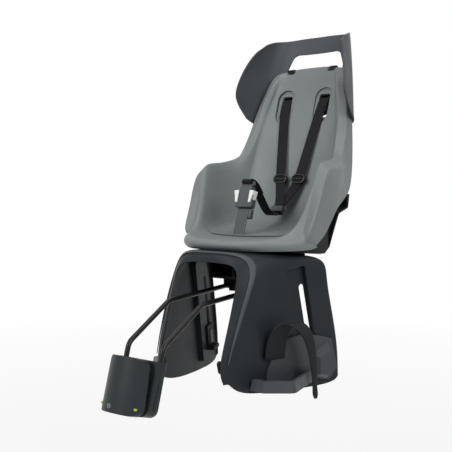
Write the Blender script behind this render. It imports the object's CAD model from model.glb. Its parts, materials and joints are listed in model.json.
# %% [markdown]
# # A rear child seat for a bicycle
# The solids of the seat come packed, in metres, with every piece already in its place and on
# the body that it moves with. This lesson dresses them: it gives each plastic, metal and rubber
# part its finish, and builds the soft and small pieces that a solid model leaves plain.

import json
import math

import bpy
from mathutils import Matrix, Vector


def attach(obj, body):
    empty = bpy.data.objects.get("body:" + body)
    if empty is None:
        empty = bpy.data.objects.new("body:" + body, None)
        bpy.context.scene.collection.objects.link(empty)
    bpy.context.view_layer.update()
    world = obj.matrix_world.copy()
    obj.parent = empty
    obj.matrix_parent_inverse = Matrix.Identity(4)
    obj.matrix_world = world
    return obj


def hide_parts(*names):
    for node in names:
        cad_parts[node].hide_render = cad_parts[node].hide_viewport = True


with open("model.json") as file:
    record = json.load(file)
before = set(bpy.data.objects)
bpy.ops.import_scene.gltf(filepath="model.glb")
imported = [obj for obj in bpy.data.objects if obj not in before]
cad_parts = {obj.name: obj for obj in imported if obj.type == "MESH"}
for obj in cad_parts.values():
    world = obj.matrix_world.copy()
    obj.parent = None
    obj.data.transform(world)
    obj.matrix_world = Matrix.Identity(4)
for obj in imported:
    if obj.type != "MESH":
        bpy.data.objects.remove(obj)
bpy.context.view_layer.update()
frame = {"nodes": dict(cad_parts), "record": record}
solids = frame["nodes"]

# %% [markdown]
# ## Camera
# The picture was taken from the seat's front left, a little above the lip of the bucket. The
# distance, the turn and the lens were worked out from the outline of the seat, so the camera is
# simply set to those values. A long lens keeps the near bracket from looking too large.

# %% Place the camera
camera_data = bpy.data.cameras.new("photo_camera")
camera_data.sensor_width = 36.0
camera_data.lens = 63.72
camera = bpy.data.objects.new("photo_camera", camera_data)
bpy.context.scene.collection.objects.link(camera)
camera.location = (1.0102, -1.0087, 0.3537)
camera.rotation_euler = (math.radians(90 - 2.78), 0, math.radians(38.19))
bpy.context.scene.camera = camera
print("camera at", tuple(round(v, 3) for v in camera.location))

# %% [markdown]
# ## Small helpers
# Operators act on whatever is selected, so each piece starts from a clean selection. Modifiers
# are applied as soon as they are set, which leaves plain meshes for the export.


# %% Selection and modifier helpers
def clear_selection():
    """Leave edit mode and deselect everything."""
    if bpy.context.object and bpy.context.object.mode != "OBJECT":
        bpy.ops.object.mode_set(mode="OBJECT")
    bpy.ops.object.select_all(action="DESELECT")


def make_active(piece):
    """Select one piece and nothing else."""
    clear_selection()
    piece.select_set(True)
    bpy.context.view_layer.objects.active = piece


def apply_modifier(piece, kind, **settings):
    """Add one modifier, set it and apply it."""
    make_active(piece)
    modifier = piece.modifiers.new(kind.lower(), kind)
    for key, value in settings.items():
        setattr(modifier, key, value)
    bpy.ops.object.modifier_apply(modifier=modifier.name)


def soften_edges(piece, width, segments, degrees=40):
    """Bevel the edges that turn by more than an angle."""
    apply_modifier(piece, "BEVEL", width=width, segments=segments, limit_method="ANGLE",
                   angle_limit=math.radians(degrees))


def settle(piece, name, material):
    """Name a piece, bring its place into its mesh, smooth it and give it its finish."""
    make_active(piece)
    bpy.ops.object.transform_apply(location=True, rotation=True, scale=True)
    bpy.ops.object.shade_smooth_by_angle(angle=math.radians(35))
    piece.name = name
    piece.data.name = name
    piece.data.materials.clear()
    piece.data.materials.append(material)


# %% [markdown]
# ## Finishes
# Nearly everything here is moulded plastic with a fine spark-eroded grain, so the grain is one
# node group: a fine noise for the bump, a slow noise that shifts the colour a little, and long
# faint scuffs that change the shine. Each material places the group with its own values.


# %% Node group for moulded grain
def moulded_grain_group():
    """Grain height, slow mottle and long scuffs, all from object coordinates."""
    group = bpy.data.node_groups.new("moulded_grain", "ShaderNodeTree")
    face = group.interface
    face.new_socket("Grain Scale", in_out="INPUT", socket_type="NodeSocketFloat")
    face.new_socket("Scuff Scale", in_out="INPUT", socket_type="NodeSocketFloat")
    face.new_socket("Height", in_out="OUTPUT", socket_type="NodeSocketFloat")
    face.new_socket("Mottle", in_out="OUTPUT", socket_type="NodeSocketFloat")
    face.new_socket("Scuffs", in_out="OUTPUT", socket_type="NodeSocketFloat")
    nodes, links = group.nodes, group.links
    entry = nodes.new("NodeGroupInput")
    leave = nodes.new("NodeGroupOutput")
    place = nodes.new("ShaderNodeTexCoord")
    grain = nodes.new("ShaderNodeTexNoise")
    grain.inputs["Detail"].default_value = 3.0
    links.new(place.outputs["Object"], grain.inputs["Vector"])
    links.new(entry.outputs["Grain Scale"], grain.inputs["Scale"])
    links.new(grain.outputs["Fac"], leave.inputs["Height"])
    mottle = nodes.new("ShaderNodeTexNoise")
    mottle.inputs["Scale"].default_value = 9.0
    mottle.inputs["Detail"].default_value = 4.0
    links.new(place.outputs["Object"], mottle.inputs["Vector"])
    links.new(mottle.outputs["Fac"], leave.inputs["Mottle"])
    stretch = nodes.new("ShaderNodeMapping")
    stretch.inputs["Scale"].default_value = (1.0, 0.35, 0.12)
    stretch.inputs["Rotation"].default_value = (0.5, 0.3, 0.4)
    scuff = nodes.new("ShaderNodeTexNoise")
    scuff.inputs["Detail"].default_value = 6.0
    scuff.inputs["Roughness"].default_value = 0.7
    links.new(place.outputs["Object"], stretch.inputs["Vector"])
    links.new(stretch.outputs["Vector"], scuff.inputs["Vector"])
    links.new(entry.outputs["Scuff Scale"], scuff.inputs["Scale"])
    links.new(scuff.outputs["Fac"], leave.inputs["Scuffs"])
    return group


moulded_grain = moulded_grain_group()
print("group:", moulded_grain.name)

# %% [markdown]
# A moulded part is never one flat tone: its colour shifts slowly, and wear changes its shine.
# Painted pictures could show that, but noise needs no files and has no seams. So a builder places
# the grain group, steers colour and roughness with it, and adds the fine bump.


# %% Material builders
def blank_material(name):
    """A new material with its nodes, links and shader."""
    material = bpy.data.materials.new(name)
    material.use_nodes = True
    tree = material.node_tree
    return material, tree.nodes, tree.links, tree.nodes["Principled BSDF"]


def spread(nodes, links, source, low, high, start=0.3, stop=0.7):
    """A value that runs from low to high as another goes from start to stop."""
    ranged = nodes.new("ShaderNodeMapRange")
    ranged.inputs["From Min"].default_value = start
    ranged.inputs["From Max"].default_value = stop
    ranged.inputs["To Min"].default_value = low
    ranged.inputs["To Max"].default_value = high
    links.new(source, ranged.inputs["Value"])
    return ranged.outputs["Result"]


def two_tone(nodes, links, source, dark, light):
    """A colour between two tones, steered by a noise."""
    ramp = nodes.new("ShaderNodeValToRGB")
    ramp.color_ramp.elements[0].position = 0.32
    ramp.color_ramp.elements[1].position = 0.68
    ramp.color_ramp.elements[0].color = (*dark, 1)
    ramp.color_ramp.elements[1].color = (*light, 1)
    links.new(source, ramp.inputs["Fac"])
    return ramp.outputs["Color"]


def moulded_plastic(name, colour, rough, grain, depth, vary=0.08, specular=0.4):
    """Grained plastic: colour shifted a little, shine broken by scuffs, fine bump."""
    material, nodes, links, shader = blank_material(name)
    group = nodes.new("ShaderNodeGroup")
    group.node_tree = moulded_grain
    group.inputs["Grain Scale"].default_value = grain
    group.inputs["Scuff Scale"].default_value = 60.0
    dark = tuple(c * (1 - vary) for c in colour)
    light = tuple(c * (1 + vary) for c in colour)
    links.new(two_tone(nodes, links, group.outputs["Mottle"], dark, light), shader.inputs["Base Color"])
    shine = spread(nodes, links, group.outputs["Scuffs"], rough - 0.06, rough + 0.08)
    links.new(shine, shader.inputs["Roughness"])
    bump = nodes.new("ShaderNodeBump")
    bump.inputs["Strength"].default_value = depth
    bump.inputs["Distance"].default_value = 0.0003
    links.new(group.outputs["Height"], bump.inputs["Height"])
    links.new(bump.outputs["Normal"], shader.inputs["Normal"])
    shader.inputs["Specular IOR Level"].default_value = specular
    return material


def coated_metal(name, colour, rough, metallic, grain, specular=0.4):
    """Metal with a thin coat or plating, and fine lines or speckle in its shine."""
    material = moulded_plastic(name, colour, rough, grain, 0.06, vary=0.05, specular=specular)
    material.node_tree.nodes["Principled BSDF"].inputs["Metallic"].default_value = metallic
    return material


# %% Finishes of the seat
shell_plastic = moulded_plastic("shell_plastic", (0.172, 0.189, 0.192), 0.46, 1100, 0.10, specular=0.25)
guard_plastic = moulded_plastic("guard_plastic", (0.062, 0.068, 0.074), 0.50, 1100, 0.10, specular=0.14)
base_plastic = moulded_plastic("base_plastic", (0.020, 0.024, 0.027), 0.40, 1000, 0.10, specular=0.12)
foot_plastic = moulded_plastic("foot_plastic", (0.052, 0.056, 0.062), 0.38, 1000, 0.10, specular=0.18)
bracket_plastic = moulded_plastic("bracket_plastic", (0.022, 0.027, 0.029), 0.36, 1400, 0.06, specular=0.14)
frame_plastic = moulded_plastic("frame_plastic", (0.008, 0.009, 0.010), 0.50, 900, 0.12, specular=0.10)
buckle_plastic = moulded_plastic("buckle_plastic", (0.058, 0.067, 0.071), 0.42, 1500, 0.06, specular=0.25)
clasp_plastic = moulded_plastic("clasp_plastic", (0.006, 0.006, 0.007), 0.22, 1500, 0.04, specular=0.35)
button_plastic = moulded_plastic("button_plastic", (0.72, 0.73, 0.72), 0.30, 1800, 0.03, vary=0.03)
pin_plastic = moulded_plastic("pin_plastic", (0.36, 0.44, 0.05), 0.35, 1800, 0.03)
liner_rubber = moulded_plastic("liner_rubber", (0.012, 0.012, 0.013), 0.75, 700, 0.2, specular=0.12)
strap_rubber = moulded_plastic("strap_rubber", (0.010, 0.011, 0.012), 0.48, 800, 0.12, specular=0.16)
rod_coat = coated_metal("rod_coat", (0.007, 0.007, 0.008), 0.28, 0.0, 1300, specular=0.20)
bolt_zinc = coated_metal("bolt_zinc", (0.50, 0.50, 0.52), 0.34, 1.0, 2200)
lock_nickel = coated_metal("lock_nickel", (0.16, 0.16, 0.16), 0.42, 1.0, 2400)

finish_of = {
    "bracket_black": bracket_plastic,
    "liner_rubber": liner_rubber,
    "bolt_steel": bolt_zinc,
    "pin_lime": pin_plastic,
    "lock_steel": lock_nickel,
    "rod_black": rod_coat,
    "mechanism_black": frame_plastic,
    "base_dark": base_plastic,
    "footrest_dark": foot_plastic,
    "strap_rubber": strap_rubber,
    "shell_grey": shell_plastic,
    "guard_dark": guard_plastic,
    "webbing_black": frame_plastic,
    "buckle_dark": buckle_plastic,
    "button_white": button_plastic,
}
for part in frame["record"]["subparts"]:
    meshed = solids[part["node"]].data
    meshed.materials.clear()
    meshed.materials.append(finish_of[part["material_slot"]])

# %% [markdown]
# ## Webbing
# Harness webbing is a woven nylon band, 25 mm wide and under 2 mm thick, with a firm edge on each
# side. A curve with a bevel could make it, but it would twist where the strap turns. A grid laid
# between two smooth edge lines keeps the strap flat across, and its UV map can hold real lengths,
# so that the weave keeps its pitch on every strap.


# %% Weave group and webbing finish
def weave_group():
    """Thread height of a plain weave, from a UV map that holds real lengths."""
    group = bpy.data.node_groups.new("webbing_weave", "ShaderNodeTree")
    face = group.interface
    face.new_socket("Picks", in_out="INPUT", socket_type="NodeSocketFloat")
    face.new_socket("Ends", in_out="INPUT", socket_type="NodeSocketFloat")
    face.new_socket("Height", in_out="OUTPUT", socket_type="NodeSocketFloat")
    nodes, links = group.nodes, group.links
    entry = nodes.new("NodeGroupInput")
    leave = nodes.new("NodeGroupOutput")
    place = nodes.new("ShaderNodeUVMap")
    height = nodes.new("ShaderNodeMath")
    height.operation = "MULTIPLY"
    for socket, direction, slot in (("Ends", "X", 0), ("Picks", "Y", 1)):
        threads = nodes.new("ShaderNodeTexWave")
        threads.bands_direction = direction
        threads.inputs["Distortion"].default_value = 0.6
        threads.inputs["Detail"].default_value = 1.0
        links.new(place.outputs["UV"], threads.inputs["Vector"])
        links.new(entry.outputs[socket], threads.inputs["Scale"])
        links.new(threads.outputs["Fac"], height.inputs[slot])
    links.new(height.outputs["Value"], leave.inputs["Height"])
    return group


webbing_weave = weave_group()
webbing_nylon, web_nodes, web_links, web_shader = blank_material("webbing_nylon")
weave = web_nodes.new("ShaderNodeGroup")
weave.node_tree = webbing_weave
weave.inputs["Picks"].default_value = 210.0
weave.inputs["Ends"].default_value = 290.0
valley_tone, thread_tone = (0.006, 0.006, 0.007), (0.018, 0.018, 0.020)
web_colour = two_tone(web_nodes, web_links, weave.outputs["Height"], valley_tone, thread_tone)
web_links.new(web_colour, web_shader.inputs["Base Color"])
web_shine = spread(web_nodes, web_links, weave.outputs["Height"], 0.72, 0.55)
web_links.new(web_shine, web_shader.inputs["Roughness"])
web_bump = web_nodes.new("ShaderNodeBump")
web_bump.inputs["Strength"].default_value = 0.5
web_bump.inputs["Distance"].default_value = 0.0004
web_links.new(weave.outputs["Height"], web_bump.inputs["Height"])
web_links.new(web_bump.outputs["Normal"], web_shader.inputs["Normal"])
web_shader.inputs["Sheen Weight"].default_value = 0.04
web_shader.inputs["Specular IOR Level"].default_value = 0.12
print("webbing finish:", webbing_nylon.name)

# %% [markdown]
# Every strap is laid in the same way. Each of its edges is a smooth line through a few points, a
# grid is stretched between the two, and Solidify and Bevel give it thickness and soft edges.


# %% Laying a band between two edge lines
def smooth_line(route):
    """Points read from the smooth line that a route of points steers."""
    line = bpy.data.curves.new("route", "CURVE")
    line.dimensions = "3D"
    line.resolution_u = 8
    spline = line.splines.new("NURBS")
    spline.points.add(len(route) - 1)
    for point, place in zip(spline.points, route):
        point.co = (*place, 1)
    spline.order_u = 4
    spline.use_endpoint_u = True
    carrier = bpy.data.objects.new("route", line)
    points = [v.co.copy() for v in bpy.data.meshes.new_from_object(carrier).vertices]
    bpy.data.objects.remove(carrier)
    return points


def band(name, edge_a, edge_b, thick, material, crown=0.0003, columns=6):
    """A strap laid between two edge lines, crowned a little, with soft edges."""
    side_a, side_b = smooth_line(edge_a), smooth_line(edge_b)
    rows = len(side_a) - 1
    clear_selection()
    bpy.ops.mesh.primitive_grid_add(x_subdivisions=columns, y_subdivisions=rows, size=1)
    strap = bpy.context.object
    run = [0.0]
    for one, two in zip(side_a, side_a[1:]):
        run.append(run[-1] + (two - one).length)
    flat = {}
    for corner in strap.data.vertices:
        across = corner.co.x + 0.5
        row = round((corner.co.y + 0.5) * rows)
        ahead = side_a[min(row + 1, rows)] - side_a[max(row - 1, 0)]
        wide = side_b[row] - side_a[row]
        lift = ahead.cross(wide).normalized() * crown * (1 - (2 * across - 1) ** 4)
        flat[corner.index] = (across * wide.length, run[row])
        corner.co = side_a[row] + wide * across + lift
    weave_map = strap.data.uv_layers.active.data
    for loop in strap.data.loops:
        weave_map[loop.index].uv = flat[loop.vertex_index]
    apply_modifier(strap, "SOLIDIFY", thickness=thick, offset=0.0)
    soften_edges(strap, 0.28 * thick, 2, degrees=50)
    settle(strap, name, material)
    return strap


# %% [markdown]
# The shoulder straps come through the guides in the back, run down over it, pass the adjusters
# and meet at the clip. The route is given in the leaning frame of the back, as the solids have it,
# with the left strap lying on top of the right one near the clip.

# %% Shoulder straps
back_lean = math.radians(18.5)
back_top = Vector((0, 0.606, 0.624))
back_rear = Vector((0, math.cos(back_lean), -math.sin(back_lean)))
back_up = Vector((0, math.sin(back_lean), math.cos(back_lean)))


def on_back(x, rearward, up):
    """A place on the leaning back, given in millimetres."""
    return back_top + Vector((x / 1000, 0, 0)) + back_rear * (rearward / 1000) + back_up * (up / 1000)


webbing_half = 12.5
webbing_thick = 0.0018
layered_below = -290
shoulder_route = [
    (51, 8, -68), (51, 2, -68.5), (51, -7, -71), (50, -13.3, -92), (43, -14, -145), (34, -13, -208),
    (25.5, -12.5, -270), (14, -18, -303), (4, -27, -326), (0, -33, -341), (0, -36, -348), (0, -39, -355),
]
for side, name in ((-1, "left"), (1, "right")):
    layer = 1.6 + side * 1.6
    edges = []
    for half in (-webbing_half, webbing_half):
        edge = []
        for x, rearward, up in shoulder_route:
            shift = layer if up < layered_below else 0
            edge.append(on_back(side * x + half, rearward + shift, up))
        edges.append(edge)
    strap = band("shoulder_webbing_" + name, *edges, webbing_thick, webbing_nylon)
    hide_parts("shoulder_strap_" + name)
    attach(strap, "seat")
    print(strap.name, len(strap.data.polygons), "faces")

# %% [markdown]
# The lead strap runs from the clip to the buckle. It goes through the tongue, round its bar and
# back over itself, where it would be sewn. Seen from the side it is one line, so its route is
# given by forward distance and height.


# %% Lead strap with its loop
def edges_of(route, half):
    """Both edges of a strap in the middle plane, from distances and heights in millimetres."""
    return [[(edge / 1000, y / 1000, z / 1000) for y, z in route] for edge in (-half, half)]


lead_route = [
    (455.5, 300), (449, 293.5), (438, 290), (422, 298), (404, 319), (388, 340), (374, 354.5), (362, 357.8),
    (353, 360.4), (345.5, 362.5), (344.5, 368.5), (351, 371.6), (360, 368.6), (370, 364.4),
    (381, 353.5), (391, 340.5),
]
lead = band("lead_webbing", *edges_of(lead_route, 11.5), webbing_thick, webbing_nylon)
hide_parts("lead_strap")
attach(lead, "seat")
print(lead.name, len(lead.data.polygons), "faces")

# %% [markdown]
# The crotch strap is a moulded band that stands up from the seat and carries the buckle. It lies in
# the middle plane, so the helper of the lead strap gives its edges as well.

# %% Crotch strap
crotch_route = [(316, 241), (316, 248), (317, 254), (320.5, 264), (327, 284), (334, 303), (336.5, 308.5)]
moulded_thick = 0.0026
crotch = band("crotch_band", *edges_of(crotch_route, 14), moulded_thick, buckle_plastic, crown=0.0004)
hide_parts("crotch_strap")
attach(crotch, "seat")
print(crotch.name, len(crotch.data.polygons), "faces")

# %% [markdown]
# The foot straps are rubber bands, wide on the leg guard and narrow at their tail, which ends in a
# drop. Since the width changes on the way, each point of the route has its own half width. The
# route is given along, out from and up one leg guard, and mirrored for the other.

# %% Foot straps
leg_corner = Vector((0.088, 0.185, 0))
leg_toe = math.radians(16.8)
leg_along = Vector((math.sin(leg_toe), math.cos(leg_toe), 0))
leg_out = Vector((math.cos(leg_toe), -math.sin(leg_toe), 0))


def on_leg(s, out, z):
    """A place on the right leg guard: along it, out from it, and its height, in millimetres."""
    return leg_corner + leg_along * (s / 1000) + leg_out * (out / 1000) + Vector((0, 0, z / 1000))


foot_route = [
    (95, 8.8, 16, 25), (95, 10, 50, 25), (101, 23, 82, 24), (114, 37, 92, 21), (130, 47, 84, 17),
    (145, 53, 60, 13), (152, 54, 32, 10), (157, 53, 5, 8), (160, 51, -15, 6), (163, 49, -36, 5),
    (165, 48, -50, 6.5), (166, 48, -58, 6.5), (166.4, 48, -64, 3),
]
for side, name in ((-1, "left"), (1, "right")):
    edges = []
    for sign in (-side, side):
        edge = [on_leg(s + sign * half, out, z) for s, out, z, half in foot_route]
        edges.append([(side * spot.x, spot.y, spot.z) for spot in edge])
    strap = band("foot_band_" + name, *edges, moulded_thick, strap_rubber, crown=0.0005, columns=8)
    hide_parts("foot_strap_" + name)
    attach(strap, "foot_" + name)
    print(strap.name, len(strap.data.polygons), "faces")

# %% [markdown]
# ## Harness fittings
# The adjusters are glossy oval frames with a sunk middle and a bar that the webbing goes round.
# An oval is a cylinder whose two halves are drawn apart, and its top face is inset and pushed in
# to leave the rim. One adjuster is modelled flat and then set down on the leaning back.


# %% Flat ovals, sunk tops and setting down
def oval(length, width, thick):
    """A flat oval with straight sides, lying in the XY plane."""
    clear_selection()
    bpy.ops.mesh.primitive_cylinder_add(vertices=42, radius=width / 2, depth=thick)
    piece = bpy.context.object
    for corner in piece.data.vertices:
        corner.co.x += math.copysign((length - width) / 2, corner.co.x)
    return piece


def sink_top(piece, rim, deep):
    """Inset the top face and push it in."""
    top = max(piece.data.polygons, key=lambda face: face.center.z).index
    make_active(piece)
    bpy.ops.object.mode_set(mode="EDIT")
    bpy.ops.mesh.select_mode(type="FACE")
    bpy.ops.mesh.select_all(action="DESELECT")
    bpy.ops.object.mode_set(mode="OBJECT")
    piece.data.polygons[top].select = True
    bpy.ops.object.mode_set(mode="EDIT")
    bpy.ops.mesh.inset(thickness=rim)
    bpy.ops.mesh.extrude_region_move(TRANSFORM_OT_translate={"value": (0, 0, -deep)})
    bpy.ops.object.mode_set(mode="OBJECT")


def set_down(piece, origin, x_axis, y_axis):
    """Turn a piece that was modelled flat, so that it lies along two axes at a place."""
    turn = Matrix((x_axis, y_axis, x_axis.cross(y_axis))).transposed().to_4x4()
    piece.matrix_world = Matrix.Translation(origin) @ turn


def join_into(piece, others):
    """Join other pieces into one."""
    make_active(piece)
    for other in others:
        other.select_set(True)
    bpy.ops.object.join()


def own_copy(piece):
    """A copy with a mesh of its own."""
    twin = piece.copy()
    twin.data = piece.data.copy()
    bpy.context.scene.collection.objects.link(twin)
    return twin


sideways = Vector((1, 0, 0))

# %% Strap adjusters
adjuster = oval(0.036, 0.022, 0.011)
sink_top(adjuster, 0.0036, 0.0050)
soften_edges(adjuster, 0.0011, 3)
clear_selection()
bpy.ops.mesh.primitive_cylinder_add(vertices=20, radius=0.0026, depth=0.028, location=(0, 0, 0.0026),
                                    rotation=(0, math.pi / 2, 0))
join_into(adjuster, [bpy.context.object])
for side, name, piece in ((1, "right", own_copy(adjuster)), (-1, "left", adjuster)):
    set_down(piece, on_back(side * 24.4, -11.9, -270), sideways, back_up)
    settle(piece, "adjuster_frame_" + name, clasp_plastic)
    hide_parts("strap_adjuster_" + name)
    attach(piece, "seat")
    print(piece.name, len(piece.data.polygons), "faces")

# %% [markdown]
# The release buttons are white wedges with ribs on their outer side. A cube has one corner for
# each corner of a wedge, so its corners are moved there, and a row of thin rods makes the ribs.
# One wedge goes into the pocket of the buckle, one lies over its face, and a third joins the two
# outside the buckle, so the button slides in without cutting it.


# %% Release buttons
def wedge(outline, thick):
    """A block over four corners, given in millimetres."""
    clear_selection()
    bpy.ops.mesh.primitive_cube_add(size=2)
    piece = bpy.context.object
    corner_at = {(-1, -1): outline[0], (1, -1): outline[1], (1, 1): outline[2], (-1, 1): outline[3]}
    for corner in piece.data.vertices:
        x, y = corner_at[(round(corner.co.x), round(corner.co.y))]
        corner.co = (x / 1000, y / 1000, corner.co.z * thick / 2)
    return piece


buckle_tilt = math.radians(16)
buckle_middle = Vector((0, 0.345, 0.333))
buckle_up = Vector((0, math.sin(buckle_tilt), math.cos(buckle_tilt)))
face_forward = 0.0101
shoulder_forward = 0.0040
button = wedge([(13.3, -7), (21.6, -7), (24.8, 12), (13.3, 13.6)], 0.0100)
apply_modifier(button, "BEVEL", width=0.0010, segments=3)
face = wedge([(14.4, -14.5), (19.2, -14), (24.8, 11.5), (14.4, 12.5)], 0.0044)
apply_modifier(face, "BEVEL", width=0.0012, segments=3)
for corner in face.data.vertices:
    corner.co.z += face_forward
shoulder = wedge([(22.6, 2.4), (23.3, 2.4), (24.7, 11.6), (20.2, 11.6)], 0.0160)
apply_modifier(shoulder, "BEVEL", width=0.0003, segments=2)
for corner in shoulder.data.vertices:
    corner.co.z += shoulder_forward
ribs = []
for k in range(5):
    clear_selection()
    bpy.ops.mesh.primitive_cylinder_add(vertices=12, radius=0.0009, depth=0.0086,
                                        location=(0.0219 + 0.00057 * k, -0.0048 + 0.0034 * k, 0))
    ribs.append(bpy.context.object)
join_into(button, [face, shoulder] + ribs)
for side, name, piece in ((1, "right", own_copy(button)), (-1, "left", button)):
    if side < 0:
        for corner in piece.data.vertices:
            corner.co.x = -corner.co.x
        piece.data.flip_normals()
    set_down(piece, buckle_middle, sideways, buckle_up)
    settle(piece, "release_button_" + name, button_plastic)
    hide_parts("buckle_button_" + name)
    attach(piece, "button_" + name)
    print(piece.name, len(piece.data.polygons), "faces")

# %% [markdown]
# Behind the crotch strap hangs the folded end that sets its length, held in a moulded keeper. Only
# its block shows, so a cube is brought to its size, turned with the buckle and given soft edges.

# %% Keeper of the crotch strap
clear_selection()
bpy.ops.mesh.primitive_cube_add(size=1, location=(0.002, 0.3395, 0.2975), rotation=(-buckle_tilt, 0, 0))
keeper = bpy.context.object
keeper.dimensions = (0.034, 0.012, 0.021)
make_active(keeper)
bpy.ops.object.transform_apply(location=True, rotation=True, scale=True)
apply_modifier(keeper, "BEVEL", width=0.0024, segments=3)
settle(keeper, "crotch_keeper", buckle_plastic)
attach(keeper, "seat")
print(keeper.name, len(keeper.data.polygons), "faces")

# %% [markdown]
# ## Seat insert
# A thin plate lies over the seat behind the front lip, and its edge shows as a fine arc with a
# dark gap under it. A grid in the plan of the plate is dropped on the seat with Shrinkwrap, so it
# follows the seat, and is then lifted a little. Corners over the slot of the crotch strap find no
# seat below them, so they take the height of the nearest corner that did.

# %% Seat insert
insert_width = 0.242
insert_rows = 24
front_strip = 0.0078
arc_centre = 0.4704
arc_radius = 0.1599
back_middle = 0.452
drop_height = 0.33
not_landed = 0.325
lift = 0.0034
lift_half = 0.1215
clear_selection()
bpy.ops.mesh.primitive_grid_add(x_subdivisions=48, y_subdivisions=insert_rows, size=1)
insert = bpy.context.object
for corner in insert.data.vertices:
    x = insert_width * corner.co.x
    row = round((corner.co.y + 0.5) * insert_rows)
    front = arc_centre - math.sqrt(arc_radius ** 2 - x ** 2)
    back = back_middle - 0.020 * (x / 0.118) ** 2
    deep = 0
    if row > 0:
        deep = front_strip + (back - front - front_strip) * (row - 1) / (insert_rows - 1)
    corner.co = (x, front + deep, drop_height)
apply_modifier(insert, "SHRINKWRAP", target=solids["seat_shell"], wrap_method="PROJECT", use_project_z=True,
               use_negative_direction=True, use_positive_direction=False)
landed = [corner.co.copy() for corner in insert.data.vertices if corner.co.z < not_landed]
for corner in insert.data.vertices:
    if corner.co.z > not_landed:
        corner.co.z = min(landed, key=lambda spot: (spot.xy - corner.co.xy).length).z
    corner.co.z += lift * (1 - (abs(corner.co.x) / lift_half) ** 8)
apply_modifier(insert, "SOLIDIFY", thickness=0.0018, offset=-1.0)
settle(insert, "seat_insert", shell_plastic)
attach(insert, "seat")
print("insert from z", round(min(v.co.z for v in insert.data.vertices), 4))

# %% [markdown]
# ## Small dark parts
# Two oval plugs close the drain holes on top of the back, and a strap stud sits on the inner
# front edge of each leg guard. Both are ovals like the adjusters: the plugs get a sunk top, and the
# studs a wide bevel that makes them round.

# %% Plugs and studs
plug_slope = Vector((0, 0.6, 0.8))
stud_along = Vector((0, -0.25, 0.968))
stud_across = Vector((0, 0.968, 0.25))
for side, name in ((-1, "left"), (1, "right")):
    plug = oval(0.026, 0.0140, 0.0030)
    sink_top(plug, 0.0014, 0.0014)
    soften_edges(plug, 0.0008, 2)
    set_down(plug, Vector((side * 0.057, 0.6003, 0.6270)), sideways, plug_slope)
    settle(plug, "drain_plug_" + name, frame_plastic)
    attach(plug, "seat")
    stud = oval(0.026, 0.012, 0.009)
    soften_edges(stud, 0.0025, 3)
    set_down(stud, Vector((side * 0.0745, 0.164, 0.012)), stud_along, stud_across)
    settle(stud, "leg_stud_" + name, frame_plastic)
    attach(stud, "base")
    print(plug.name, "and", stud.name)

# %% [markdown]
# A thin dark gasket lies on the base under the seat pan, so no light shows between the two. It
# slopes and widens like the base, so the corners of a cube are moved to that shape.

# %% Gasket between base and pan
gasket_middle, gasket_length, gasket_thick = 0.346, 0.156, 0.0008
base_slope = 0.0897
clear_selection()
bpy.ops.mesh.primitive_cube_add(size=1)
gasket = bpy.context.object
for corner in gasket.data.vertices:
    y = gasket_middle + gasket_length * corner.co.y
    half = 0.090 + 0.30 * (y - 0.268)
    top = 0.2297 - base_slope * (y - 0.25)
    corner.co = (2 * half * corner.co.x, y, top + gasket_thick * corner.co.z)
settle(gasket, "pan_gasket", frame_plastic)
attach(gasket, "base")
print(gasket.name, "up to z", round(max(v.co.z for v in gasket.data.vertices), 4))

# %% [markdown]
# The front edge of the base is a paler moulded band, from one leg guard over the arch to the other.
# Its two edge lines are given for the right half, from the middle of the arch down the leg, and
# mirrored for the left half.

# %% Edge band of the base
band_inner = [
    (0, 220.2, 222.7), (20.8, 220.6, 222.6), (40.8, 222.2, 221.9), (55.7, 224.5, 220.5), (65.7, 226.5, 218.5),
    (74.5, 228.5, 215.6), (81.8, 230.1, 211.4), (87.6, 231.1, 206), (93.1, 230.7, 196.7), (96.6, 226.9, 182),
    (97.7, 219.9, 164.6), (97.5, 211.1, 145), (96.5, 201, 122.2), (95.2, 190.4, 95.8), (93.6, 180.2, 67.9),
    (92, 171.2, 41.4), (91, 165.7, 17.8),
]
band_outer = [
    (0, 225.3, 225.9), (21.4, 226, 225.8), (42.4, 228.4, 225.2), (58.5, 232, 224), (69.6, 235.2, 222.2),
    (79.3, 238.6, 219.6), (87.3, 241.6, 215.7), (93.5, 243.7, 210.5), (99.1, 244.1, 201.5),
    (102.4, 239.6, 186.5), (102.9, 231.3, 168.7), (102.2, 221.3, 149), (100.9, 210.6, 126.4),
    (98.8, 198.4, 99.6), (96.3, 186.2, 70.8), (93.6, 174.9, 42.9), (91.5, 166.9, 18),
]
edge_plastic = moulded_plastic("edge_plastic", (0.058, 0.064, 0.069), 0.40, 1000, 0.10, specular=0.16)


def over_arch(half_line):
    """A line for both halves, from the left leg over the arch to the right leg, in metres."""
    left = [(-x, y, z) for x, y, z in reversed(half_line[1:])]
    return [(x / 1000, y / 1000, z / 1000) for x, y, z in left + half_line]


edge_lines = over_arch(band_inner), over_arch(band_outer)
edge_band = band("base_edge_band", *edge_lines, 0.0012, edge_plastic, crown=0.0006)
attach(edge_band, "base")
print(edge_band.name, len(edge_band.data.polygons), "faces")

# %% [markdown]
# ## Light and ground
# The picture is a cut-out on white under large soft lamps. Three area lamps stand in for them, the
# brightest from the left of the picture. A small lamp would cut hard shadows, and large ones
# soften them as in a studio.


# %% Lamps
def soft_lamp(name, place, size, watts):
    """An area lamp turned to the middle of the seat."""
    lamp_data = bpy.data.lights.new(name, "AREA")
    lamp_data.shape = "RECTANGLE"
    lamp_data.size = size[0]
    lamp_data.size_y = size[1]
    lamp_data.energy = watts
    lamp = bpy.data.objects.new(name, lamp_data)
    bpy.context.scene.collection.objects.link(lamp)
    lamp.location = place
    lamp.rotation_euler = (seat_middle - Vector(place)).to_track_quat("-Z", "Y").to_euler()


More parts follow.
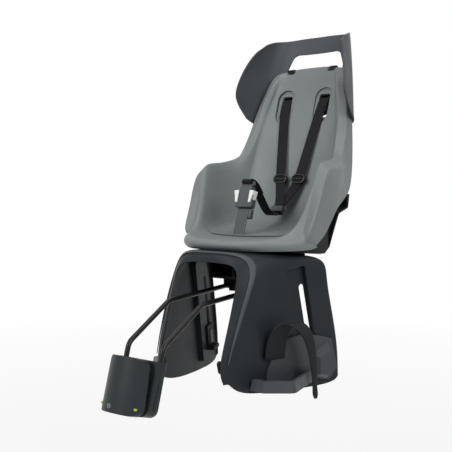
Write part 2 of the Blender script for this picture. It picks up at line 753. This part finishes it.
seat_middle = Vector((0, 0.35, 0.3))
soft_lamp("key_lamp", (-0.7, -2.2, 1.5), (1.2, 1.2), 46)
soft_lamp("top_lamp", (0.3, 0.0, 2.2), (1.6, 1.2), 16)
soft_lamp("side_lamp", (2.2, -0.3, 1.4), (1.2, 1.2), 34)
print("lamps:", sorted(item.name for item in bpy.data.lights))

# %% [markdown]
# A white world would light the seat from all sides and wash out its dark plastics. So it is white
# only for rays from the camera, from mirrors and through glass, and dim for all others.


# %% World
def seen_rays(nodes, links):
    """1 for rays from the camera, mirrors and glass, which are to find white."""
    ray = nodes.new("ShaderNodeLightPath")
    total = ray.outputs["Is Camera Ray"]
    for kind in ("Is Glossy Ray", "Is Transmission Ray"):
        either = nodes.new("ShaderNodeMath")
        either.operation = "MAXIMUM"
        links.new(total, either.inputs[0])
        links.new(ray.outputs[kind], either.inputs[1])
        total = either.outputs["Value"]
    return total


world = bpy.data.worlds.new("studio")
bpy.context.scene.world = world
world.use_nodes = True
sky, sky_links = world.node_tree.nodes, world.node_tree.links
sky["Background"].inputs["Color"].default_value = (1, 1, 1, 1)
level = spread(sky, sky_links, seen_rays(sky, sky_links), 0.10, 1.0, start=0.0, stop=1.0)
sky_links.new(level, sky["Background"].inputs["Strength"])
bpy.context.scene.view_settings.view_transform = "Standard"
print("world:", world.name)

# %% [markdown]
# The floor lies well under the bracket, since the seat hangs from a bicycle. It has to look white
# and still take a shadow, so its paint is mixed with a white glow that only those same rays see.
# Near the seat the glow leaves some of the paint, where a faint shadow falls, and farther off it
# covers it all, so the floor runs into the white behind it.

# %% Floor
clear_selection()
bpy.ops.mesh.primitive_plane_add(size=14, location=(0, 0.3, -0.42))
floor = bpy.context.object
floor.name = "studio_floor"
floor_paint, floor_nodes, floor_links, floor_shader = blank_material("floor_paint")
floor_shader.inputs["Base Color"].default_value = (0.86, 0.86, 0.86, 1)
floor_shader.inputs["Roughness"].default_value = 0.9
glow = floor_nodes.new("ShaderNodeEmission")
glow.inputs["Strength"].default_value = 1.0
floor_place = floor_nodes.new("ShaderNodeTexCoord")
away = floor_nodes.new("ShaderNodeVectorMath")
away.operation = "LENGTH"
floor_links.new(floor_place.outputs["Object"], away.inputs[0])
shade_end, white_start = 0.7, 3.2
whiteness = spread(floor_nodes, floor_links, away.outputs["Value"], 0.85, 1.0,
                   start=shade_end, stop=white_start)
share = floor_nodes.new("ShaderNodeMath")
share.operation = "MULTIPLY"
floor_links.new(whiteness, share.inputs[0])
floor_links.new(seen_rays(floor_nodes, floor_links), share.inputs[1])
mixed = floor_nodes.new("ShaderNodeMixShader")
floor_links.new(share.outputs["Value"], mixed.inputs["Fac"])
floor_links.new(floor_shader.outputs["BSDF"], mixed.inputs[1])
floor_links.new(glow.outputs["Emission"], mixed.inputs[2])
floor_links.new(mixed.outputs["Shader"], floor_nodes["Material Output"].inputs["Surface"])
floor.data.materials.append(floor_paint)
print("floor at z", round(floor.location.z, 2))
